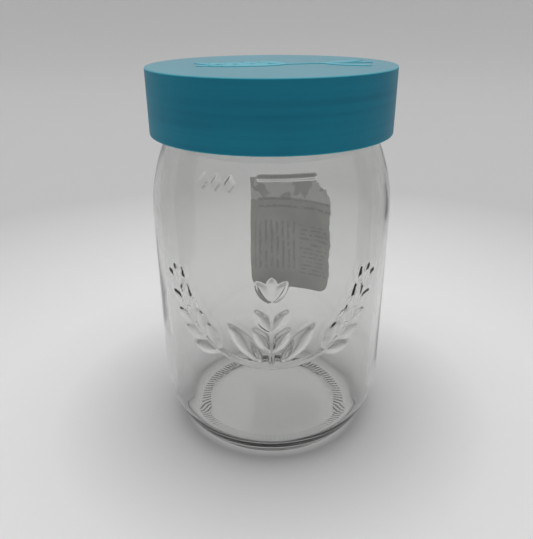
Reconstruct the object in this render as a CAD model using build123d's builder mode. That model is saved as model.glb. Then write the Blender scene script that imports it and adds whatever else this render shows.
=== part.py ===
from build123d import *
import os
from math import cos, degrees, radians, sin, sqrt

# A clear preserving glass for a starter dough, closed by a push-on moulded cover.
# The origin is the centre of the foot, +Z is up and the front of the glass faces -Y.
# Sizes are in millimetres and angles in degrees.

# Body of the glass, from the foot upwards
jar_diameter = 110.0
heel_inset = 11.4  # the foot is this much smaller than the barrel, all round
heel_height = 30.0
barrel_height = 80.0
shoulder_rise = 40.0
glass_wall = 3.8
foot_width = 6.0
foot_edge = 1.2
push_up = 2.0  # hollow under the base
push_up_slope = 6.0
floor_thickness = 4.0  # at the hollow, in the middle
inner_heel_height = 27.0  # the inside narrows from here down, so the glass is thicker at the heel
inner_heel_inset = 11.2

# Mouth of the glass
mouth_diameter = 81.0
neck_wall = 3.5
neck_length = 7.5  # plain neck between the shoulder and the bead
bead_reach = 5.5
bead_thickness = 10.0
bead_edge = 1.6
lip_wall = 2.2
lip_clearance = 0.5  # between the lip and the cover's underside
lip_edge_share = 0.35

# Raised fill line on the front of the shoulder
fill_line_length = 20.7
fill_line_width = 1.3
fill_line_rise = 0.8
fill_line_start = -5.0
fill_line_height_share = 0.69

# Paper label on the rear of the barrel
label_width = 49.5
label_thickness = 0.3
label_glue = 0.1
label_turn = -12.8
label_below_shoulder = 0.5
label_above_heel = 12.0
label_corner = 7.0
label_tear_width = 9.0
label_tear_height = 6.0

# Rubber sealing ring
seal_thickness = 3.3
seal_fit = 0.3  # clearance to the lip inside
seal_slip = 0.1  # clearance to the ribs of the cover
seal_edge_share = 0.2

# Cover
top_thickness = 3.0
skirt_wall = 2.6
skirt_reach = 3.5  # how far the skirt hangs below the top of the shoulder
cover_edge = 0.5
skirt_lead_in = 0.8
rib_count = 12
rib_width = 2.4
rib_depth = 1.1
rib_root = 0.8
rib_end_gap = 6.0
rib_lead_in = 0.7
bead_clearance = 0.3
register_wall = 2.0
register_depth = 4.0
register_clearance = 0.6

# Ornament of brighter plastic on the cover: an ear of grain on a bent stalk
ornament_thickness = 0.25
ear_length = 44.0
ear_offset = 30.0  # from the cover's centre to the tip of the ear
ear_bend = 3.0
stalk_length = 30.0
stalk_bend = 5.0
stalk_width = 2.2
grain_length = 21.0
grain_width = 7.6
grain_angle = 38.0
grain_pairs = 5
grain_taper_share = 0.5
leaf_length = 24.0
leaf_width = 6.5
leaf_angle = 34.0
leaf_place_share = 0.25

# Levels and radii that follow from the sizes above
quarter_turn = 90.0
jar_radius = jar_diameter / 2
foot_radius = jar_radius - heel_inset
inner_radius = jar_radius - glass_wall
floor_radius = inner_radius - inner_heel_inset
floor_height = push_up + floor_thickness
shoulder_height = heel_height + barrel_height
neck_height = shoulder_height + shoulder_rise
mouth_radius = mouth_diameter / 2
neck_radius = mouth_radius + neck_wall
bead_radius = neck_radius + bead_reach
bead_bottom = neck_height + neck_length
bead_top = bead_bottom + bead_thickness
lip_radius = mouth_radius + lip_wall
cover_underside = bead_top + seal_thickness
cover_top = cover_underside + top_thickness
rim_height = cover_underside - lip_clearance
cover_bottom = neck_height - skirt_reach
rib_radius = bead_radius + bead_clearance
skirt_radius = rib_radius + rib_depth
cover_radius = skirt_radius + skirt_wall
register_radius = mouth_radius - register_clearance


def radial_plane(azimuth):
    """The upright plane through the axis that opens towards an azimuth, measured from the front."""
    turn = radians(azimuth - quarter_turn)
    return Plane(origin=(0, 0, 0), x_dir=(cos(turn), sin(turn), 0), z_dir=(sin(turn), -cos(turn), 0))


def arc_radius_at(arc, height):
    """The distance from the axis to a wall arc, drawn in an upright plane, at a height."""
    return arc.arc_center.X + sqrt(arc.radius**2 - (height - arc.arc_center.Y) ** 2)


# Glass jar: heel and shoulder are arcs that run out of a straight barrel
with BuildPart() as glass_jar:
    with BuildSketch(Plane.XZ) as body:
        with BuildLine():
            heel = TangentArc((jar_radius, heel_height), (foot_radius, 0), tangent=(0, -1))
            Line(heel @ 0, (jar_radius, shoulder_height))
            shoulder = TangentArc(
                (jar_radius, shoulder_height), (neck_radius, neck_height), tangent=(0, 1)
            )
            Polyline(
                shoulder @ 1,
                (neck_radius, bead_bottom),
                (bead_radius, bead_bottom),
                (bead_radius, bead_top),
                (lip_radius, bead_top),
                (lip_radius, rim_height),
                (0, rim_height),
                (0, push_up),
                (foot_radius - foot_width - push_up_slope, push_up),
                (foot_radius - foot_width, 0),
                heel @ 1,
            )
        make_face()
        chamfer(body.vertices().sort_by_distance((foot_radius, 0))[0], length=foot_edge)
        chamfer(body.vertices().sort_by_distance((bead_radius, bead_bottom))[0], length=bead_edge)
        chamfer(body.vertices().sort_by_distance((bead_radius, bead_top))[0], length=bead_edge)
    revolve(axis=Axis.Z)

    with BuildSketch(Plane.XZ):
        with BuildLine():
            inner_shoulder = TangentArc(
                (inner_radius, shoulder_height), (mouth_radius, neck_height), tangent=(0, 1)
            )
            Polyline(
                inner_shoulder @ 1,
                (mouth_radius, rim_height),
                (0, rim_height),
                (0, floor_height),
                (floor_radius, floor_height),
                (inner_radius, inner_heel_height),
                inner_shoulder @ 0,
            )
        make_face()
    revolve(axis=Axis.Z, mode=Mode.SUBTRACT)
    chamfer(glass_jar.faces().sort_by(Axis.Z)[-1].edges(), length=lip_wall * lip_edge_share)

    # The fill line is a short raised bar that follows the shoulder
    fill_line_height = shoulder_height + shoulder_rise * fill_line_height_share
    fill_line_radius = arc_radius_at(shoulder, fill_line_height)
    with BuildSketch(radial_plane(fill_line_start)):
        with Locations((fill_line_radius, fill_line_height)):
            Rectangle(fill_line_rise * 2, fill_line_width)
    revolve(axis=Axis.Z, revolution_arc=degrees(fill_line_length / fill_line_radius))
glass_jar.part.label = "glass_jar"

# Back label: a sheet bent round the barrel, cut to its outline from behind
label_start = 2 * quarter_turn + label_turn - degrees(label_width / jar_radius) / 2
label_half_width = jar_radius * sin(label_width / jar_radius / 2)
label_bottom = heel_height + label_above_heel
label_top = shoulder_height - label_below_shoulder
with BuildPart() as back_label:
    with BuildSketch(radial_plane(label_start)):
        with Locations((jar_radius + label_glue, label_bottom)):
            Rectangle(label_thickness, label_top - label_bottom, align=(Align.MIN, Align.MIN))
    revolve(axis=Axis.Z, revolution_arc=degrees(label_width / jar_radius))
    label_view = radial_plane(quarter_turn + label_turn)  # looks at the middle of the label
    with BuildSketch(label_view) as outline:
        with BuildLine():
            Polyline(
                (-label_half_width, label_bottom),
                (label_half_width, label_bottom),
                (label_half_width, label_top - label_tear_height),
                (label_half_width - label_tear_width, label_top),
                (-label_half_width, label_top),
                close=True,
            )
        make_face()
        fillet(outline.vertices().group_by(Axis.Y)[0], radius=label_corner)
    extrude(amount=jar_diameter, both=True, mode=Mode.INTERSECT)
back_label.part.label = "back_label"

# Sealing ring: fills the space between the cover and the flat top of the bead, round the lip
with BuildPart() as sealing_ring:
    with BuildSketch(Plane.XY.offset(cover_underside)):
        Circle(rib_radius - seal_slip)
        Circle(lip_radius + seal_fit, mode=Mode.SUBTRACT)
    extrude(amount=-seal_thickness)
    chamfer(sealing_ring.faces().sort_by(Axis.Z)[0].edges(), length=seal_thickness * seal_edge_share)
sealing_ring.part.label = "sealing_ring"

# One centring rib: an upright strip whose lower end slopes back into the skirt
rib_bottom = cover_bottom + rib_end_gap
with BuildPart() as rib:
    with BuildSketch(Plane.XZ):
        with BuildLine():
            Polyline(
                (rib_radius, cover_underside),
                (skirt_radius + rib_root, cover_underside),
                (skirt_radius + rib_root, rib_bottom),
                (skirt_radius, rib_bottom),
                (rib_radius, rib_bottom + rib_lead_in),
                close=True,
            )
        make_face()
    extrude(amount=rib_width / 2, both=True)

# Cover: a flat top with a plain skirt, centring ribs and a register ring that enters the mouth
with BuildPart() as lid_shell:
    with BuildSketch(Plane.XY.offset(cover_bottom)):
        Circle(cover_radius)
    extrude(amount=cover_top - cover_bottom)
    chamfer(lid_shell.faces().sort_by(Axis.Z)[-1].edges(), length=cover_edge)
    with BuildSketch(Plane.XY.offset(cover_bottom)):
        Circle(skirt_radius)
    extrude(amount=cover_underside - cover_bottom, mode=Mode.SUBTRACT)
    chamfer(lid_shell.faces().sort_by(Axis.Z)[0].edges().sort_by(SortBy.RADIUS)[0], length=skirt_lead_in)
    chamfer(lid_shell.faces().sort_by(Axis.Z)[0].edges().sort_by(SortBy.RADIUS)[-1], length=cover_edge)

    with BuildSketch(Plane.XY.offset(cover_underside)):
        Circle(register_radius)
        Circle(register_radius - register_wall, mode=Mode.SUBTRACT)
    extrude(amount=-register_depth)

    with PolarLocations(0, rib_count):
        add(rib.part)
lid_shell.part.label = "lid_shell"

# One grain or leaf of the ornament, pointing along +X from its root
def leaf_outline(length, width):
    with BuildSketch() as leaf:
        with BuildLine():
            SagittaArc((0, 0), (length, 0), width / 2)
            SagittaArc((length, 0), (0, 0), width / 2)
        make_face()
    return leaf.sketch


with BuildPart() as lid_ornament:
    with BuildSketch(Plane.XY.offset(cover_top)):
        with BuildLine():
            ear = SagittaArc((ear_length - ear_offset, 0), (-ear_offset, 0), ear_bend)
            stalk = TangentArc(ear @ 0, (ear @ 0) + Vector(stalk_length, stalk_bend), tangent=-(ear % 0))
        trace(line_width=stalk_width)
        for pair in range(grain_pairs):
            place_share = (pair + 1) / (grain_pairs + 1)
            size_share = 1 - grain_taper_share * place_share
            heading = Vector(1, 0, 0).get_signed_angle(ear % place_share)
            for side in (-1, 1):
                with Locations(Location(ear @ place_share, (0, 0, heading + side * grain_angle))):
                    add(leaf_outline(grain_length * size_share, grain_width * size_share))
        for side in (-1, 1):
            with Locations(Location(stalk @ leaf_place_share, (0, 0, side * leaf_angle))):
                add(leaf_outline(leaf_length, leaf_width))
    extrude(amount=ornament_thickness)
lid_ornament.part.label = "lid_ornament"

os.makedirs("parts", exist_ok=True)
for piece in (glass_jar, back_label, sealing_ring, lid_shell, lid_ornament):
    export_step(piece.part, f"parts/{piece.part.label}.step")
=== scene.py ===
import bpy
import numpy as np
from mathutils import Matrix


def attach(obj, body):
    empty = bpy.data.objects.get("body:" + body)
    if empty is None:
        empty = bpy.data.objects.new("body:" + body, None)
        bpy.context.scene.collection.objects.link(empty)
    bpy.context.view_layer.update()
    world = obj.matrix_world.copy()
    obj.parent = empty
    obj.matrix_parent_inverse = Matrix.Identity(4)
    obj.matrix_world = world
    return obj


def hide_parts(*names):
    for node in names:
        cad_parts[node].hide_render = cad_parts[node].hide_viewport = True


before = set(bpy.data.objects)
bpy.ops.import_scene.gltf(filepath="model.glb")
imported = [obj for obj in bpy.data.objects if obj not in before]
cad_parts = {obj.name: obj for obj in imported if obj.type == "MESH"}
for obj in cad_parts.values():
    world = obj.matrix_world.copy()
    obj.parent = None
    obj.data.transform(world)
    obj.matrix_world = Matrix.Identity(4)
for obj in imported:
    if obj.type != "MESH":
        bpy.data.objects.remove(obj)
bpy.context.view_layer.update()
millimetre = 0.001
black = (0.0, 0.0, 0.0)
white = (1.0, 1.0, 1.0)


# Faces from arrays of point numbers, one array for each corner.
def facesFrom(*corners):
    return np.stack(corners, axis=-1).reshape(-1, len(corners)).tolist()


# A smooth shaded mesh object that sits at the origin, in metres from points in mm.
def newPiece(name, points, faces):
    mesh = bpy.data.meshes.new(name)
    mesh.from_pydata((points * millimetre).tolist(), [], faces)
    mesh.shade_smooth()
    piece = bpy.data.objects.new(name, mesh)
    bpy.context.scene.collection.objects.link(piece)
    return piece


# Turns a grid of points (rows, columns, xyz in mm) into a piece. The columns close round the axis. A looped
# grid also closes from its last row to its first, and any other ends in a pole point on each side.
def wrapGrid(name, grid, looped):
    rows, columns = grid.shape[:2]
    index = np.arange(rows * columns).reshape(rows, columns)
    lower = index if looped else index[:-1]
    upper = np.roll(index, -1, axis=0) if looped else index[1:]
    faces = facesFrom(lower, np.roll(lower, -1, axis=1), np.roll(upper, -1, axis=1), upper)
    points = grid.reshape(-1, 3)
    if not looped:
        startPole = np.full(columns, len(points))
        faces += facesFrom(startPole, np.roll(index[0], -1), index[0])
        faces += facesFrom(index[-1], np.roll(index[-1], -1), startPole + 1)
        points = np.vstack([points, grid[0].mean(axis=0), grid[-1].mean(axis=0)])
    return newPiece(name, points, faces)


# Points at a radius, an azimuth counted in degrees from the front towards +X, and a height.
def aroundAxis(radius, azimuth, height):
    turn = np.radians(azimuth)
    return np.stack(np.broadcast_arrays(radius * np.sin(turn), -radius * np.cos(turn), height), axis=-1)


# 0 below nothing, 1 above one, and 3t² - 2t³ between them.
def easeIn(t):
    t = np.clip(t, 0, 1)
    return t * t * (3 - 2 * t)


# An arc that leaves an upright wall and ends at a given point. Its radius of turn is (dr² + dz²) / 2dr,
# and its points lie at even turns.
def wallArc(wallRadius, startHeight, endRadius, endHeight, count=60):
    inward = wallRadius - endRadius
    rise = endHeight - startHeight
    turnRadius = (inward**2 + rise**2) / (2 * inward)
    swing = np.linspace(0, np.arcsin(abs(rise) / turnRadius), count)
    radius = wallRadius - turnRadius * (1 - np.cos(swing))
    return np.stack([radius, startHeight + np.sign(rise) * turnRadius * np.sin(swing)], axis=-1)


# Walks along a profile in even steps, then replaces each point by the weighted mean of its neighbours
# within the rounding length, which turns sharp corners into round ones.
def roundedProfile(corners, rounding, looped, step=0.1):
    corners = np.vstack([corners, corners[:1]]) if looped else np.asarray(corners, float)
    walked = np.concatenate([[0], np.cumsum(np.hypot(*np.diff(corners, axis=0).T))])
    places = np.arange(0, walked[-1], step)
    line = np.stack([np.interp(places, walked, corners[:, side]) for side in (0, 1)], axis=-1)
    reach = int(rounding / step / 2)
    weights = np.hanning(2 * reach + 3)[1:-1]
    padded = np.pad(line, ((reach, reach), (0, 0)), mode="wrap" if looped else "edge")
    smooth = [np.convolve(padded[:, side], weights / weights.sum(), mode="valid") for side in (0, 1)]
    return places, np.stack(smooth, axis=-1)


# Picks places along a length whose spacing changes: the running sum of 1 / step is cut at even counts.
def spacedPlaces(places, step):
    passed = np.concatenate([[0], np.cumsum(np.diff(places) * 2 / (step[1:] + step[:-1]))])
    return np.interp(np.linspace(0, passed[-1], int(passed[-1]) + 1), passed, places)


# The rows of a skin: spaced places along its profile, with the radius and the height there as columns.
def profileRows(places, line, step):
    rows = spacedPlaces(places, step)
    radius, height = [np.interp(rows, places, line[:, side])[:, None] for side in (0, 1)]
    return rows, radius, height


# Azimuths at even steps all the way round, as one row.
def evenTurns(count):
    return np.linspace(0, 360, count, endpoint=False)[None, :]


class Wire:
    # One socket of a shader tree. Sums, products and the like of wires and numbers add Math nodes.
    def __init__(self, tree, socket=None):
        self.tree = tree
        self.socket = socket

    # Adds a node: its settings come first, then a value or a wire for each named or numbered socket.
    def node(self, kind, settings={}, inputs={}, output=0):
        added = self.tree.nodes.new(kind)
        for name, value in settings.items():
            if name == "stops":
                ramp = added.color_ramp.elements
                while len(ramp) < len(value):
                    ramp.new(0.5)
                for stop, (position, shade) in zip(ramp, value):
                    stop.position = position
                    stop.color = (*shade, 1) if np.iterable(shade) else (shade, shade, shade, 1)
            else:
                setattr(added, name, value)
        for name, value in inputs.items():
            if isinstance(value, Wire):
                self.tree.links.new(value.socket, added.inputs[name])
            else:
                added.inputs[name].default_value = value
        return Wire(self.tree, added.outputs[output]) if added.outputs else added

    # A Math node that works on wires and numbers.
    def maths(self, operation, *values):
        return self.node("ShaderNodeMath", {"operation": operation}, dict(enumerate(values)))

    def __add__(self, other):
        return self.maths("ADD", self, other)

    def __sub__(self, other):
        return self.maths("SUBTRACT", self, other)

    def __rsub__(self, other):
        return self.maths("SUBTRACT", other, self)

    def __mul__(self, other):
        return self.maths("MULTIPLY", self, other)

    def __truediv__(self, other):
        return self.maths("DIVIDE", self, other)

    def __lt__(self, other):
        return self.maths("LESS_THAN", self, other)

    def __gt__(self, other):
        return self.maths("GREATER_THAN", self, other)

    __radd__ = __add__
    __rmul__ = __mul__


# A new material with its tree cleared, and the wire that its nodes are added by.
def newMaterial(name):
    material = bpy.data.materials.new(name)
    material.use_nodes = True
    material.node_tree.nodes.clear()
    return material, Wire(material.node_tree)


# Links a shader, and the body behind a clear face, to the material's output.
def closeMaterial(tree, shader, body=None):
    outputs = {"Surface": shader} if body is None else {"Surface": shader, "Volume": body}
    tree.node("ShaderNodeOutputMaterial", inputs=outputs)


# Object coordinates in mm, as three wires.
def objectPlaces(tree):
    place = tree.node("ShaderNodeTexCoord", output="Object")
    scaled = tree.node("ShaderNodeVectorMath", {"operation": "SCALE"}, {0: place, "Scale": 1 / millimetre})
    return [tree.node("ShaderNodeSeparateXYZ", inputs={0: scaled}, output=axis) for axis in "XYZ"]


# Distance from the upright axis: the square root of x² + y².
def axisDistance(x, y):
    return x.maths("SQRT", x * x + y * y)


# A wire held between 0 and 1.
def heldShare(wire):
    return wire.maths("MAXIMUM", wire.maths("MINIMUM", wire, 1.0), 0.0)


# Noise on Object coordinates, with so many features to the millimetre.
def noiseField(tree, perMillimetre, detail=2.0, stretch=(1, 1, 1)):
    place = tree.node("ShaderNodeTexCoord", output="Object")
    scaled = tree.node("ShaderNodeMapping", inputs={"Vector": place, "Scale": stretch})
    scale = perMillimetre / millimetre
    return tree.node("ShaderNodeTexNoise", inputs={"Vector": scaled, "Scale": scale, "Detail": detail})


# Colours by the value of a wire, blended between stops of a position and a shade.
def rampColours(tree, value, stops):
    return tree.node("ShaderNodeValToRGB", {"stops": stops}, {0: value})


# Blends two colours by a share. Each is a wire or three numbers.
def mixColours(tree, share, first, second):
    first, second = [shade if isinstance(shade, Wire) else (*shade, 1) for shade in (first, second)]
    return tree.node("ShaderNodeMix", {"data_type": "RGBA"}, {0: share, 6: first, 7: second}, output=2)


# Bumps of a height that is counted in so many mm.
def bumpNormal(tree, height, depth=1.0):
    return tree.node("ShaderNodeBump", inputs={"Distance": depth * millimetre, "Height": height})


# Gives a piece its material and its body, and hides the nodes it stands for.
def fitPiece(piece, material, slot, body, *nodes):
    piece.data.materials.clear()
    piece.data.materials.append(material)
    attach(piece, body)
    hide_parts(*nodes)


# The glass jar. Lengths are in mm and angles in degrees, here and in every dictionary below.
glassShape = {
    "wallRadius": 55.0,
    "wallThickness": 3.8,
    "footRadius": 43.6,
    "footWidth": 6.0,
    "pushUp": 2.0,
    "pushUpSlope": 6.0,
    "floorHeight": 5.0,
    "floorRadius": 43.0,
    "heelHeight": 30.0,
    "innerHeelHeight": 24.0,
    "shoulderHeight": 110.0,
    "neckHeight": 150.0,
    "neckRadius": 44.0,
    "mouthRadius": 40.5,
    "beadBottom": 157.5,
    "beadTop": 167.5,
    "beadRadius": 49.5,
    "lipRadius": 42.7,
    "rimHeight": 170.3,
    "rounding": 3.0,
    "sprayHeights": (48.0, 104.0),  # the barrel's relief lies between these
    "markHeights": (128.0, 143.0),  # and the shoulder's between these
    "swirl": 0.12,  # how far the inner wall wanders
    "swirlLobes": (3, 5),
    "swirlPitches": (19, 13),
    "secondSwirl": 0.6,
    "swirlEase": 20,
}

# How fine the mesh of the glass is: the spacing of its rows at heights outside and inside, and of its columns.
glassGrid = {
    "outsideHeights": (0, 8, 30, 48, 52, 100, 104, 128, 131, 140, 143, 156),
    "outsideSteps": (1.6, 1.6, 3, 3, 0.5, 0.5, 3, 3, 0.5, 0.5, 1.5, 0.9),
    "insideHeights": (8, 30, 34, 106, 112, 156, 160),
    "insideSteps": (1.8, 1.8, 8, 8, 3.2, 3.2, 1.2),
    "baseRadius": 41.0,
    "baseStep": 3.5,
    "frontStep": 0.48,  # where the relief is
    "rearStep": 2.6,
    "frontReach": 56.0,  # to each side of the front
    "turnStep": 0.1,  # of the turns that the columns are spaced along
}

reliefShape = {
    "rise": 1.1,
    "sideFade": 2.0,  # it gets flatter towards the sides, as a mould that opens forwards leaves it
    "stalkWidth": 2.0,
    "stalkStart": (0.0, 57.0),  # place round the wall from the front, and height
    "stalkBend": (30.0, 57.5),
    "stalkEnd": (43.5, 87.5),
    "centreStart": (0.0, 57.0),
    "centreEnd": (0.0, 88.0),
    "firstGrain": 0.3,  # share of the stalk where the grains begin
    "grainSpacing": 8.0,
    "grainLength": 14.0,
    "grainWidth": 6.2,
    "grainTilt": 33.0,
    "rootSize": 1.2,
    "sizeLoss": 0.4,  # from the root of the stalk to its tip
    "leafRoot": (4.0, 59.0),
    "leafLean": 50.0,  # above level
    "leafLength": 23.0,
    "leafWidth": 7.5,
}

fillMark = {
    "start": -5.0,
    "length": 20.7,
    "height": 137.6,
    "width": 1.3,
    "rise": 0.8,
    "edge": 0.5,
    "lozenges": (-31.0, -24.5, -18.0),  # azimuths of the small marks beside it
    "lozengeHeight": 135.0,
    "lozengeSize": (2.3, 3.3),
    "lozengeRise": 1.0,
}


# The outline of the glass from the middle of its base, up the outside and down the inside to its floor. Heel
# and shoulder are arcs that leave an upright wall, and the hollow of the base falls to the foot by 3t² - 2t³.
def glassOutline(shape):
    innerWall = shape["wallRadius"] - shape["wallThickness"]
    foot = shape["footRadius"]
    neck = shape["neckHeight"]
    heel = wallArc(shape["wallRadius"], shape["heelHeight"], foot, 0)[::-1]
    shoulder = wallArc(shape["wallRadius"], shape["shoulderHeight"], shape["neckRadius"], neck)
    innerShoulder = wallArc(innerWall, shape["shoulderHeight"], shape["mouthRadius"], neck)[::-1]
    innerHeel = wallArc(innerWall, shape["innerHeelHeight"], shape["floorRadius"], shape["floorHeight"])
    hollow = np.linspace(0, foot - shape["footWidth"], len(heel))
    base = np.stack([hollow, shape["pushUp"] * easeIn((hollow[-1] - hollow) / shape["pushUpSlope"])], axis=-1)
    mouth = [
        (shape["neckRadius"], shape["beadBottom"]),
        (shape["beadRadius"], shape["beadBottom"]),
        (shape["beadRadius"], shape["beadTop"]),
        (shape["lipRadius"], shape["beadTop"]),
        (shape["lipRadius"], shape["rimHeight"]),
        (shape["mouthRadius"], shape["rimHeight"]),
    ]
    return np.vstack([base, heel, shoulder, mouth, innerShoulder, innerHeel, [(0, shape["floorHeight"])]])


# A curve of the second degree through two ends, pulled towards a bend: (1-t)² a + 2t(1-t) b + t² c.
def bentLine(start, bend, end, count=110):
    t = np.linspace(0, 1, count)[:, None]
    return (1 - t) ** 2 * np.array(start) + 2 * t * (1 - t) * np.array(bend) + t**2 * np.array(end)


# A rounded ridge: 0 at its edge, 1 along its middle, and 1 - (1 - t)² between them.
def ridge(t):
    return 1 - (1 - np.clip(t, 0, 1)) ** 2


# Height of a raised stroke: a ridge by the distance to the nearest point of its line.
def strokeHeight(across, up, line, width):
    distance = np.hypot(across[..., None] - line[:, 0], up[..., None] - line[:, 1]).min(axis=-1)
    return ridge(1 - distance / (width / 2))


# Height of a raised grain or leaf. At a along its length, its half width is w/2 (1 - (2a/length - 1)²), which
# is kept just above nothing so that it can be divided by.
def grainHeight(across, up, root, heading, length, width, least=0.001):
    along = (across - root[0]) * np.cos(heading) + (up - root[1]) * np.sin(heading)
    aside = (up - root[1]) * np.cos(heading) - (across - root[0]) * np.sin(heading)
    halfWidth = width / 2 * np.clip(1 - (2 * along / length - 1) ** 2, least, None)
    return ridge(1 - np.abs(aside) / halfWidth) * easeIn(4 * halfWidth / width)


# Raised height of one ear: grains in pairs at even steps down from the tip of the stalk, smaller at the tip,
# where a third one stands between them.
def earHeight(across, up, stalk, shape):
    height = strokeHeight(across, up, stalk, shape["stalkWidth"])
    length = np.hypot(*np.diff(stalk, axis=0).T).sum()
    for share in np.arange(1.0, shape["firstGrain"], -shape["grainSpacing"] / length):
        place = int(share * (len(stalk) - 2))
        heading = np.arctan2(*(stalk[place + 1] - stalk[place])[::-1])
        size = shape["rootSize"] - shape["sizeLoss"] * share
        sides = (-1, 1) if share < 1 else (-1, 0, 1)
        for side in sides:
            tilt = heading + side * np.radians(shape["grainTilt"])
            lengths = (shape["grainLength"] * size, shape["grainWidth"] * size)
            height = np.maximum(height, grainHeight(across, up, stalk[place], tilt, *lengths))
    return height


# Relief of the barrel: two bent ears that fan out from an upright one with a leaf on each side of it, by the
# place round the wall and the height. It gets flatter by cos(azimuth) to the power of the fade.
def sprayHeight(across, up, wallRadius, shape):
    side = np.abs(across)
    bent = bentLine(shape["stalkStart"], shape["stalkBend"], shape["stalkEnd"])
    upright = bentLine(shape["centreStart"], shape["centreStart"], shape["centreEnd"])
    height = np.maximum(earHeight(side, up, bent, shape), earHeight(across, up, upright, shape))
    lean = np.radians(shape["leafLean"])
    leaf = grainHeight(side, up, shape["leafRoot"], lean, shape["leafLength"], shape["leafWidth"])
    return np.maximum(height, leaf) * shape["rise"] * np.cos(across / wallRadius) ** shape["sideFade"]


# Relief of the shoulder: a straight bar at the fill level, by the distance to its middle line, and three
# lozenges beside it, by 1 - |across| / half width - |up| / half height.
def fillMarkHeight(azimuth, up, wallRadius, mark):
    across = np.radians(azimuth - mark["start"]) * wallRadius
    ends = np.clip(across, 0, mark["length"])
    distance = np.hypot(across - ends, up - mark["height"])
    height = mark["rise"] * easeIn((mark["width"] / 2 + mark["edge"] / 2 - distance) / mark["edge"])
    halfWidth, halfHeight = mark["lozengeSize"]
    for place in mark["lozenges"]:
        aside = np.abs(np.radians(azimuth - place) * wallRadius) / halfWidth
        share = 1 - aside - np.abs(up - mark["lozengeHeight"]) / halfHeight
        height = np.maximum(height, mark["lozengeRise"] * easeIn(share * halfWidth / mark["edge"]))
    return height


# How far the inner wall wanders: two sines of the azimuth and the height, eased out at the floor and the neck.
def swirlDepth(azimuth, height, shape):
    firstLobes, secondLobes = shape["swirlLobes"]
    firstPitch, secondPitch = shape["swirlPitches"]
    swirl = np.sin(np.radians(firstLobes * azimuth) + height / firstPitch)
    swirl = swirl + shape["secondSwirl"] * np.sin(np.radians(secondLobes * azimuth) - height / secondPitch)
    aboveFloor = easeIn((height - shape["floorHeight"]) / shape["swirlEase"])
    belowNeck = easeIn((shape["neckHeight"] - height) / shape["swirlEase"])
    return shape["swirl"] * swirl * (aboveFloor * belowNeck)


# The glass is one closed skin r(s, a): the outline s from under the base, up the outside, over the lip and
# down the inside, turned through the azimuth a, with the relief added outside and a slow swirl inside.
def buildGlass(shape, grid):
    places, line = roundedProfile(glassOutline(shape), shape["rounding"], looped=False)
    rim = places[line[:, 1].argmax()]
    outsideStep = np.interp(line[:, 1], grid["outsideHeights"], grid["outsideSteps"])
    insideStep = np.interp(line[:, 1], grid["insideHeights"], grid["insideSteps"])
    step = np.where(places < rim, outsideStep, insideStep)
    step = np.where(line[:, 0] < grid["baseRadius"], grid["baseStep"], step)
    rows, radius, height = profileRows(places, line, step)
    turns = np.arange(-180, 180, grid["turnStep"])
    columnStep = np.where(np.abs(turns) < grid["frontReach"], grid["frontStep"], grid["rearStep"])
    azimuth = spacedPlaces(turns, columnStep)[:-1][None, :]
    turned, up = np.broadcast_arrays(azimuth, height)
    across = np.radians(turned) * shape["wallRadius"]
    outside = rows < rim
    relief = np.zeros(across.shape)
    barrel, shoulder = [
        outside & (height[:, 0] > low) & (height[:, 0] < high)
        for low, high in (shape["sprayHeights"], shape["markHeights"])
    ]
    relief[barrel] = sprayHeight(across[barrel], up[barrel], shape["wallRadius"], reliefShape)
    relief[shoulder] = fillMarkHeight(turned[shoulder], up[shoulder], radius[shoulder], fillMark)
    relief = np.where(outside[:, None], relief, swirlDepth(azimuth, height, shape))
    return wrapGrid("jarGlass", aroundAxis(radius + relief, azimuth, height), looped=False)


glassFinish = {
    "tint": (0.90, 0.902, 0.898),
    # Painted shade: the notched ring under the base is tinted darker.
    "ringShadeTint": (0.73, 0.75, 0.73),
    "roughness": 0.012,
    "refraction": 1.51,
    "bodyColour": (0.50, 0.53, 0.48),
    "bodyDensity": 30.0,
    "ringRadius": 36.2,
    "ringWidth": 4.6,
    "ringTop": 2.2,  # the ring lies under the base, below this height
    "ringShade": 0.6,
    "notchShade": 0.4,
    "notchCount": 110,
    "notchDepth": 0.09,
    "ripplesPerMillimetre": 0.045,
    "rippleStretch": (1, 1, 0.45),
    "rippleDepth": 0.25,
    "mottlesPerMillimetre": 0.2,
    "mottleDepth": 0.3,
    "floorTop": 5.6,  # the inside of the base is a little dull
    "floorRadius": 43.0,
    "floorFade": 8.0,
    "floorRoughness": 0.15,
}


# Clear soda glass: a grey tint at each face and in its body, ripples from the mould and a ring of fine
# notches under the base, which are the sine of the azimuth where the radius is near the ring's. The notches
# are real bumps, and the ring is also tinted darker as painted shade.
def glassMaterial(finish):
    material, tree = newMaterial("clearSodaGlass")
    x, y, z = objectPlaces(tree)
    radius = axisDistance(x, y)
    offRing = tree.maths("ABSOLUTE", radius - finish["ringRadius"])
    onRing = (offRing < finish["ringWidth"] / 2) * (z < finish["ringTop"])
    notches = tree.maths("SINE", tree.maths("ARCTAN2", x, y) * finish["notchCount"]) * onRing
    # Painted shade: the ring and its notches darken the tint.
    ringShadeShare = onRing * finish["ringShade"] + notches * finish["notchShade"]
    withinFloor = heldShare((finish["floorRadius"] - radius) / finish["floorFade"])
    onFloor = withinFloor * (z < finish["floorTop"]) * (z > finish["floorTop"] / 2)
    ripple = noiseField(tree, finish["ripplesPerMillimetre"], detail=1.0, stretch=finish["rippleStretch"])
    mottle = noiseField(tree, finish["mottlesPerMillimetre"]) * onFloor
    height = ripple * finish["rippleDepth"] + notches * finish["notchDepth"] + mottle * finish["mottleDepth"]
    shader = tree.node("ShaderNodeBsdfPrincipled", inputs={
        "Base Color": mixColours(tree, ringShadeShare, finish["tint"], finish["ringShadeTint"]),
        "Roughness": onFloor * finish["floorRoughness"] + finish["roughness"],
        "IOR": finish["refraction"],
        "Transmission Weight": 1.0,
        "Normal": bumpNormal(tree, height),
    })
    body = tree.node("ShaderNodeVolumeAbsorption", inputs={
        "Color": (*finish["bodyColour"], 1),
        "Density": finish["bodyDensity"],
    })
    closeMaterial(tree, shader, body)
    return material


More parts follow.
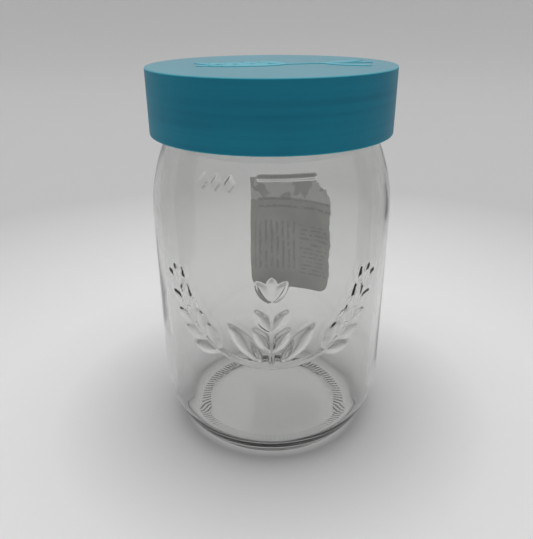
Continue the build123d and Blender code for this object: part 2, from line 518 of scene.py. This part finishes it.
jarGlass = buildGlass(glassShape, glassGrid)
fitPiece(jarGlass, glassMaterial(glassFinish), "clear_glass", "jar", "glass_jar")
print("glass ready:", len(jarGlass.data.polygons) * 2, "triangles")


# The push-on cover.
coverShape = {
    "top": 173.8,
    "underside": 170.8,
    "bottom": 146.5,
    "radius": 53.5,
    "skirtRadius": 50.9,
    "skirtReach": 0.4,  # a rib starts from rows this near to the inside of the skirt
    "ribRadius": 49.8,
    "ribCount": 12,
    "ribWidth": 2.4,
    "ribEdge": 0.6,
    "ribBottom": 152.5,
    "ribLeadIn": 0.7,
    "leadIn": 0.8,
    "registerRadius": 39.9,
    "registerWall": 2.0,
    "registerDepth": 4.0,
    "rounding": 1.6,
    "columns": 480,
    "bendLimit": 0.002,  # a turn of the profile above this gets close rows
    "bendReach": 9,
    "closeStep": 0.25,
    "wideStep": 2.5,
}


# The cover is one closed skin: from the middle of its underside, round the register ring, down the inside of
# the skirt, up the outside and over the top, turned about the axis. A rib moves the inside of the skirt in.
def buildCover(shape):
    registerInside = shape["registerRadius"] - shape["registerWall"]
    registerEnd = shape["underside"] - shape["registerDepth"]
    corners = [
        (0, shape["underside"]),
        (registerInside, shape["underside"]),
        (registerInside, registerEnd),
        (shape["registerRadius"], registerEnd),
        (shape["registerRadius"], shape["underside"]),
        (shape["skirtRadius"], shape["underside"]),
        (shape["skirtRadius"], shape["bottom"] + shape["leadIn"]),
        (shape["skirtRadius"] + shape["leadIn"], shape["bottom"]),
        (shape["radius"], shape["bottom"]),
        (shape["radius"], shape["top"]),
        (0, shape["top"]),
    ]
    places, line = roundedProfile(corners, shape["rounding"], looped=False)
    heading = np.unwrap(np.arctan2(*np.gradient(line, axis=0).T))
    bend = np.abs(np.gradient(heading)) > shape["bendLimit"]
    nearBend = np.convolve(bend, np.ones(shape["bendReach"]), mode="same") > 0
    step = np.where(nearBend, shape["closeStep"], shape["wideStep"])
    radius, height = profileRows(places, line, step)[1:]
    azimuth = evenTurns(shape["columns"])
    pitch = 360 / shape["ribCount"]
    fromRib = np.radians(np.abs((azimuth + pitch / 2) % pitch - pitch / 2)) * shape["skirtRadius"]
    rib = easeIn((shape["ribWidth"] / 2 + shape["ribEdge"] / 2 - fromRib) / shape["ribEdge"])
    rib = rib * easeIn((height - shape["ribBottom"]) / shape["ribLeadIn"])
    onSkirt = np.abs(radius - shape["skirtRadius"]) < shape["skirtReach"]
    radius = radius - np.where(onSkirt, rib * (shape["skirtRadius"] - shape["ribRadius"]), 0)
    return wrapGrid("coverShell", aroundAxis(radius, azimuth, height), looped=False)


coverFinish = {
    "deep": (0.005, 0.130, 0.206),
    "pale": (0.008, 0.183, 0.268),
    "shadeRange": (0.35, 0.65),  # share of the bands and clouds where deep ends and pale begins
    "roughness": 0.34,
    "cloudRoughness": 0.16,
    "refraction": 1.5,
    "specular": 0.15,
    "topHeight": 173.4,  # the top face is smoother than the side, and paler by a painted sheen
    # Painted sheen: the top face is blended towards a paler colour, patchy with the clouds.
    "topSheenColour": (0.145, 0.375, 0.45),
    "topSheenShare": 0.5,
    "topSheenCloud": 0.4,
    "topGloss": 0.27,
    "glossRoughness": 0.22,
    # Painted highlights along the rounded edges of the top and the bottom.
    "edgeRadius": 53.05,
    "edgeHeights": (146.95, 173.3),
    "edgeHighlightColour": (0.03, 0.40, 0.50),
    "edgeHighlightShare": 0.55,
    "bandsPerMillimetre": 0.26,
    "bandChange": 0.006,  # round the side, also for a millimetre
    "bandShare": 0.6,
    "cloudsPerMillimetre": 0.02,
    "layerHeight": 0.32,
    "layerDepth": 0.004,
    "grainsPerMillimetre": 1.1,
    "grainDepth": 0.012,
}

ornamentFinish = dict(
    coverFinish,
    deep=(0.02, 0.43, 0.55),
    pale=(0.03, 0.50, 0.63),
    roughness=0.22,
    topSheenShare=0.0,
    edgeHighlightShare=0.0,
)


# Satin plastic with faint level bands round its side, soft cloudy wear, a painted sheen that makes the top
# paler and painted highlights along its edges. Its layer lines are the sine of the height.
def coverMaterial(name, finish):
    material, tree = newMaterial(name)
    x, y, z = objectPlaces(tree)
    bandStretch = (1, 1, finish["bandsPerMillimetre"] / finish["bandChange"])
    bands = noiseField(tree, finish["bandChange"], detail=3.0, stretch=bandStretch)
    cloud = noiseField(tree, finish["cloudsPerMillimetre"], detail=3.0)
    grain = noiseField(tree, finish["grainsPerMillimetre"])
    shade = bands * finish["bandShare"] + cloud * (1 - finish["bandShare"])
    colour = rampColours(tree, shade, list(zip(finish["shadeRange"], (finish["deep"], finish["pale"]))))
    onTop = z > finish["topHeight"]
    # Painted sheen: the top face is blended towards a paler colour.
    topSheenShare = onTop * (cloud * finish["topSheenCloud"] + finish["topSheenShare"])
    colour = mixColours(tree, topSheenShare, colour, finish["topSheenColour"])
    # Painted highlights: the rounded top and bottom edges are blended towards a paler teal.
    lowEdge, highEdge = finish["edgeHeights"]
    onEdge = (axisDistance(x, y) > finish["edgeRadius"]) * ((z > highEdge) + (z < lowEdge))
    colour = mixColours(tree, onEdge * finish["edgeHighlightShare"], colour, finish["edgeHighlightColour"])
    layers = tree.maths("SINE", z * (2 * np.pi / finish["layerHeight"]))
    height = layers * finish["layerDepth"] + grain * finish["grainDepth"]
    shader = tree.node("ShaderNodeBsdfPrincipled", inputs={
        "Base Color": colour,
        "Roughness": cloud * finish["cloudRoughness"] + finish["roughness"],
        "IOR": finish["refraction"],
        "Specular IOR Level": finish["specular"],
        "Coat Weight": onTop * finish["topGloss"],
        "Coat Roughness": finish["glossRoughness"],
        "Normal": bumpNormal(tree, height),
    })
    closeMaterial(tree, shader)
    return material


coverShell = buildCover(coverShape)
fitPiece(coverShell, coverMaterial("tealCoverPlastic", coverFinish), "cover_plastic", "lid", "lid_shell")
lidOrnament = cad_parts["lid_ornament"]
lidOrnament.data.materials.clear()
lidOrnament.data.materials.append(coverMaterial("brightOrnamentPlastic", ornamentFinish))
print("cover ready:", len(coverShell.data.vertices), "points")


# The rubber ring between the glass and its cover.
sealShape = {
    "inside": 43.0,
    "outside": 49.7,
    "bottom": 167.5,
    "top": 170.8,
    "rounding": 1.2,
    "keepEvery": 3,  # of the profile's points
    "columns": 240,
}


# A rounded rectangle carried round the axis, closed both ways.
def buildSeal(shape):
    inside, outside, low, high = [shape[side] for side in ("inside", "outside", "bottom", "top")]
    corners = [(inside, low), (outside, low), (outside, high), (inside, high)]
    line = roundedProfile(corners, shape["rounding"], looped=True)[1]
    radius, height = np.split(line[::shape["keepEvery"]], 2, axis=-1)
    return wrapGrid("sealRing", aroundAxis(radius, evenTurns(shape["columns"]), height), looped=True)


sealFinish = {
    "deep": (0.50, 0.46, 0.38),
    "pale": (0.62, 0.58, 0.50),
    "roughness": 0.55,
    "dustRoughness": 0.2,
    "dustPerMillimetre": 0.6,
    "grainsPerMillimetre": 3.0,
    "grainDepth": 0.02,
}


# Matt rubber with a fine bloom of dust, which blends two shades.
def rubberMaterial(finish):
    material, tree = newMaterial("paleRubber")
    dust = noiseField(tree, finish["dustPerMillimetre"], detail=3.0)
    grain = noiseField(tree, finish["grainsPerMillimetre"])
    shader = tree.node("ShaderNodeBsdfPrincipled", inputs={
        "Base Color": mixColours(tree, dust, finish["deep"], finish["pale"]),
        "Roughness": dust * finish["dustRoughness"] + finish["roughness"],
        "Normal": bumpNormal(tree, grain, finish["grainDepth"]),
    })
    closeMaterial(tree, shader)
    return material


sealRing = buildSeal(sealShape)
fitPiece(sealRing, rubberMaterial(sealFinish), "seal_rubber", "lid", "sealing_ring")
print("sealing ring ready")


# The paper label on the rear.
labelShape = {
    "radius": 55.12,
    "thickness": 0.26,
    "middle": 167.2,  # azimuth of its middle
    "width": 50.8,
    "bottom": 42.2,
    "top": 109.3,
    "corner": 7.0,
    "tear": (10.0, 8.0),  # width and height of the torn corner
    "tearWaves": ((0.16, 58), (0.08, 131)),  # size and pace of the waves in its slope
    "ragged": 0.8,  # how far the right edge wanders
    "raggedShares": (0.3, 1.0, 0.5),  # of it, at the left, right and top
    "raggedPhases": (1.0, 2.5, 0.3),
    "raggedWaves": ((1.0, 17), (0.6, 53), (0.4, 131)),  # size and pace
    "columns": 150,
    "rows": 190,
}


# The inset of a ragged edge, from 0 to 2: one and half a sum of sines of the place along it, each of which
# starts a phase after the one before.
def raggedInset(t, phase, waves):
    wander = 0
    for turn, (size, pace) in enumerate(waves, 1):
        wander = wander + size * np.sin(pace * t + turn * phase)
    return 1 + wander / 2


# The label is a patch of the barrel: u runs towards +X and v upwards. Its edges are ragged, its lower corners
# are quarter circles, and one upper corner is torn away along a slope.
def buildLabel(shape):
    u, v = np.meshgrid(np.linspace(0, 1, shape["columns"]), np.linspace(0, 1, shape["rows"]))
    leftInset, rightInset, topInset = [
        shape["ragged"] * share * raggedInset(t, phase, shape["raggedWaves"])
        for t, share, phase in zip((v, v, u), shape["raggedShares"], shape["raggedPhases"])
    ]
    left = -shape["width"] / 2 + leftInset
    right = shape["width"] / 2 - rightInset
    across = left + (right - left) * u
    corner = shape["corner"]
    inCorner = np.clip(corner - np.minimum(u, 1 - u) * shape["width"], 0, corner)
    low = corner - np.sqrt(corner**2 - inCorner**2)
    tearWidth, tearHeight = shape["tear"]
    (firstWave, firstPace), (secondWave, secondPace) = shape["tearWaves"]
    fromTear = np.clip((u - 1) * shape["width"] + tearWidth, 0, tearWidth) / tearWidth
    waves = 1 + firstWave * np.sin(firstPace * u) + secondWave * np.sin(secondPace * u)
    tall = shape["top"] - shape["bottom"]
    high = tall - tearHeight * fromTear * waves - topInset
    up = low + (high - low) * v
    azimuth = shape["middle"] - np.degrees(across / shape["radius"])
    points = aroundAxis(shape["radius"], azimuth, shape["bottom"] + up)
    index = np.arange(u.size).reshape(u.shape)
    faces = facesFrom(index[:-1, :-1], index[1:, :-1], index[1:, 1:], index[:-1, 1:])
    piece = newPiece("paperLabel", points.reshape(-1, 3), faces)
    uvLayer = piece.data.uv_layers.new(name="sheetPlace")
    corners = np.zeros(len(piece.data.loops), int)
    piece.data.loops.foreach_get("vertex_index", corners)
    sheetPlace = np.stack([(across + shape["width"] / 2) / shape["width"], up / tall], axis=-1).reshape(-1, 2)
    uvLayer.data.foreach_set("uv", sheetPlace[corners].ravel())
    wall = piece.modifiers.new("paperThickness", "SOLIDIFY")
    wall.thickness = shape["thickness"] * millimetre
    wall.offset = 1.0
    return piece


labelFinish = {
    "middleRadius": 55.25,
    "deep": (0.62, 0.61, 0.59),
    "pale": (0.78, 0.77, 0.74),
    "bare": (0.96, 0.95, 0.92),  # where the top layer is torn off
    "ink": (0.12, 0.12, 0.13),
    "paperRange": (0.3, 0.7),  # share of the patches where deep ends and pale begins
    "roughness": 0.6,
    "patchRoughness": 0.2,
    "speckDepth": 0.05,
    "patchesPerMillimetre": 0.07,
    "specksPerMillimetre": 0.5,
    "scrapsPerMillimetre": 0.11,
    "tornFrom": 0.83,  # height above which the top layer is torn, less with the specks
    "tornSpeck": 0.06,
    "tornLevel": 0.495,  # of the scraps, less towards the right
    "tornLean": 0.06,
    "outsideShade": 0.14,
    "paintedGlowStrength": 0.15,  # a painted glow for the light that comes through the paper
    "printOutside": 0.7,
    "printInside": 0.3,
}

# Blocks of bars: how many to the whole label, how wavy, how wide and where they break, with the edges of the
# block as shares of the label (left, right, low, high).
barBlocks = [
    {
        "upright": False,
        "count": 15.0,
        "wave": 0.4,
        "width": 0.36,
        "break": 0.42,
        "edges": (0.1, 1.0, 0.68, 0.85),
    },
    {
        "upright": False,
        "count": 26.0,
        "wave": 0.5,
        "width": 0.4,
        "break": 0.47,
        "edges": (0.6, 0.95, 0.14, 0.58),
    },
    {
        "upright": True,
        "count": 15.0,
        "wave": 0.6,
        "width": 0.4,
        "break": 0.45,
        "edges": (0.06, 0.56, 0.18, 0.6),
    },
]


# Paper with blocks of plain bars. A bar shows where the fraction of the place times the count is under its
# width. Inside, it shows faintly, and a painted glow stands for light that comes through the paper, most where
# it is torn thin.
def labelMaterial(finish, blocks):
    material, tree = newMaterial("greyPaper")
    place = tree.node("ShaderNodeTexCoord", output="UV")
    u, v = [tree.node("ShaderNodeSeparateXYZ", inputs={0: place}, output=axis) for axis in "XY"]
    inside = axisDistance(*objectPlaces(tree)[:2]) < finish["middleRadius"]
    patch = noiseField(tree, finish["patchesPerMillimetre"], detail=4.0)
    speck = noiseField(tree, finish["specksPerMillimetre"], detail=3.0)
    scrap = noiseField(tree, finish["scrapsPerMillimetre"], detail=3.0)
    nearTop = v > finish["tornFrom"] - speck * finish["tornSpeck"]
    torn = nearTop * (scrap > finish["tornLevel"] - u * finish["tornLean"])
    printed = 0
    for block in blocks:
        counted = (u if block["upright"] else v) * block["count"] + patch * block["wave"]
        bars = (tree.maths("FRACT", counted) < block["width"]) * (speck > block["break"])
        left, right, low, high = block["edges"]
        printed = printed + bars * (u > left) * (u < right) * (v > low) * (v < high)
    strength = printed * (finish["printOutside"] - inside * (finish["printOutside"] - finish["printInside"]))
    paper = rampColours(tree, patch, list(zip(finish["paperRange"], (finish["deep"], finish["pale"]))))
    colour = mixColours(tree, torn, paper, finish["bare"])
    colour = mixColours(tree, strength, colour, finish["ink"])
    colour = mixColours(tree, (1 - inside) * finish["outsideShade"], colour, black)
    # Painted glow: the inside face glows a little, whiter where the paper is torn.
    paintedGlowColour = mixColours(tree, torn, colour, white)
    shader = tree.node("ShaderNodeBsdfPrincipled", inputs={
        "Base Color": colour,
        "Roughness": patch * finish["patchRoughness"] + finish["roughness"],
        "Emission Color": mixColours(tree, inside, black, paintedGlowColour),
        "Emission Strength": finish["paintedGlowStrength"],
        "Normal": bumpNormal(tree, speck, finish["speckDepth"]),
    })
    closeMaterial(tree, shader)
    return material


paperLabel = buildLabel(labelShape)
fitPiece(paperLabel, labelMaterial(labelFinish, barBlocks), "label_paper", "jar", "back_label")
print("label ready")


# The studio: a floor that rises far out, and light from all round.
studioShape = {
    "firstRing": 20.0,
    "dishStart": 1400.0,  # the floor is flat this far out
    "dishEnd": 3000.0,
    "dishRise": 1700.0,
    "rings": 24,  # in the flat part, and as many in the rising part
    "columns": 96,
}


# The floor is a wide dish: flat, then rising by 3t² - 2t³ of its outer share, with one point in its middle.
def buildFloor(shape):
    flat = np.linspace(shape["firstRing"], shape["dishStart"], shape["rings"])
    rising = np.linspace(shape["dishStart"], shape["dishEnd"], shape["rings"])[1:]
    radius = np.concatenate([flat, rising])
    outerShare = (radius - shape["dishStart"]) / (shape["dishEnd"] - shape["dishStart"])
    height = shape["dishRise"] * easeIn(outerShare)
    points = aroundAxis(radius[:, None], evenTurns(shape["columns"]), height[:, None])
    index = np.arange(points[..., 0].size).reshape(points.shape[:2])
    faces = facesFrom(index[:-1], index[1:], np.roll(index[1:], -1, axis=1), np.roll(index[:-1], -1, axis=1))
    faces += facesFrom(np.full(shape["columns"], index.size), index[0], np.roll(index[0], -1))
    return newPiece("studioFloor", np.vstack([points.reshape(-1, 3), [0, 0, 0]]), faces)


floorFinish = {
    # Painted shade: foot is a painted shadow round the object's foot, and far is a painted falloff of light
    # away from it.
    "foot": 0.50,
    "near": 0.74,
    "far": 0.51,
    "footShadowShares": (0.1, 0.30),  # of the far distance, where the painted shadow at the foot ends and near begins
    "nearShare": 0.4,
    "farDistance": 420.0,
    "cloudsPerMillimetre": 0.004,
    "cloudShare": 0.05,
    "roughness": 0.9,
    "specular": 0.1,
    "glowRadius": 47.5,
    "glowFade": 7.0,
    "glow": 0.38,
}


# Pale matt floor with painted shade: a painted shadow at the foot of the object and a painted falloff of light
# far from it. Under the glass it glows faintly, for the light that real glass lets through to it.
def floorMaterial(finish):
    material, tree = newMaterial("paleFloor")
    radius = axisDistance(*objectPlaces(tree)[:2])
    cloud = noiseField(tree, finish["cloudsPerMillimetre"]) * finish["cloudShare"]
    footShadowEnd, nearStart = finish["footShadowShares"]
    # Painted shadow at the foot and painted falloff far out, by the distance from the axis.
    stops = [
        (footShadowEnd, finish["foot"]),
        (nearStart, finish["near"]),
        (finish["nearShare"], finish["near"]),
        (1, finish["far"]),
    ]
    glow = heldShare((finish["glowRadius"] - radius) / finish["glowFade"]) * finish["glow"]
    shader = tree.node("ShaderNodeBsdfPrincipled", inputs={
        "Base Color": rampColours(tree, radius / finish["farDistance"] + cloud, stops),
        "Roughness": finish["roughness"],
        "Specular IOR Level": finish["specular"],
        "Emission Color": tree.node("ShaderNodeCombineXYZ", inputs={0: glow, 1: glow, 2: glow}),
        "Emission Strength": 1.0,
    })
    closeMaterial(tree, shader)
    return material


studioLight = {
    "levels": [(0.0, 0.6), (0.5, 0.58), (0.6, 0.66), (0.75, 0.9), (0.88, 1.15), (1.0, 1.95)],  # upwards
    "frontShare": 0.57,
    "frontSlope": 1.2,  # how fast the light falls towards the front
}


# Light from all round: a level by the height above the horizon, less towards the front.
def lightWorld(light):
    world = bpy.data.worlds.new("studioLight")
    world.use_nodes = True
    world.node_tree.nodes.clear()
    bpy.context.scene.world = world
    tree = Wire(world.node_tree)
    direction = tree.node("ShaderNodeTexCoord", output="Generated")
    depth, up = [tree.node("ShaderNodeSeparateXYZ", inputs={0: direction}, output=axis) for axis in "YZ"]
    level = rampColours(tree, up * 0.5 + 0.5, light["levels"])
    share = heldShare(depth * light["frontSlope"] + 1.0) * (1 - light["frontShare"]) + light["frontShare"]
    background = tree.node("ShaderNodeBackground", inputs={"Color": level, "Strength": share})
    tree.node("ShaderNodeOutputWorld", inputs={"Surface": background})


studioFloor = buildFloor(studioShape)
studioFloor.data.materials.append(floorMaterial(floorFinish))
lightWorld(studioLight)
print("studio ready")


# The camera stands at the photograph's viewing angle.
cameraPlace = {
    "position": (0.0, -256.1, 195.2),
    "lookDown": 24.75,  # below level
    "turnLeft": 0.557,
    "roll": -0.34,
    "focalPixels": 565.27,
    "imageHeight": 539,
    "sensor": 36.0,
    "clipStart": 0.01,  # in metres
}


# Turns a camera left, down and over from level. Its lens is the focal length over the image's height, both in
# pixels, times the sensor.
def placeCamera(place):
    data = bpy.data.cameras.new("studioCamera")
    data.sensor_width = place["sensor"]
    data.lens = place["focalPixels"] / place["imageHeight"] * place["sensor"]
    data.clip_start = place["clipStart"]
    camera = bpy.data.objects.new("studioCamera", data)
    bpy.context.scene.collection.objects.link(camera)
    turns = [(place["turnLeft"], "Z"), (90 - place["lookDown"], "X"), (place["roll"], "Z")]
    left, down, over = [Matrix.Rotation(np.radians(turn), 4, axis) for turn, axis in turns]
    position = [value * millimetre for value in place["position"]]
    camera.matrix_world = Matrix.Translation(position) @ left @ down @ over
    bpy.context.scene.camera = camera


placeCamera(cameraPlace)
bpy.context.scene.view_settings.view_transform = "Standard"
print("camera ready")
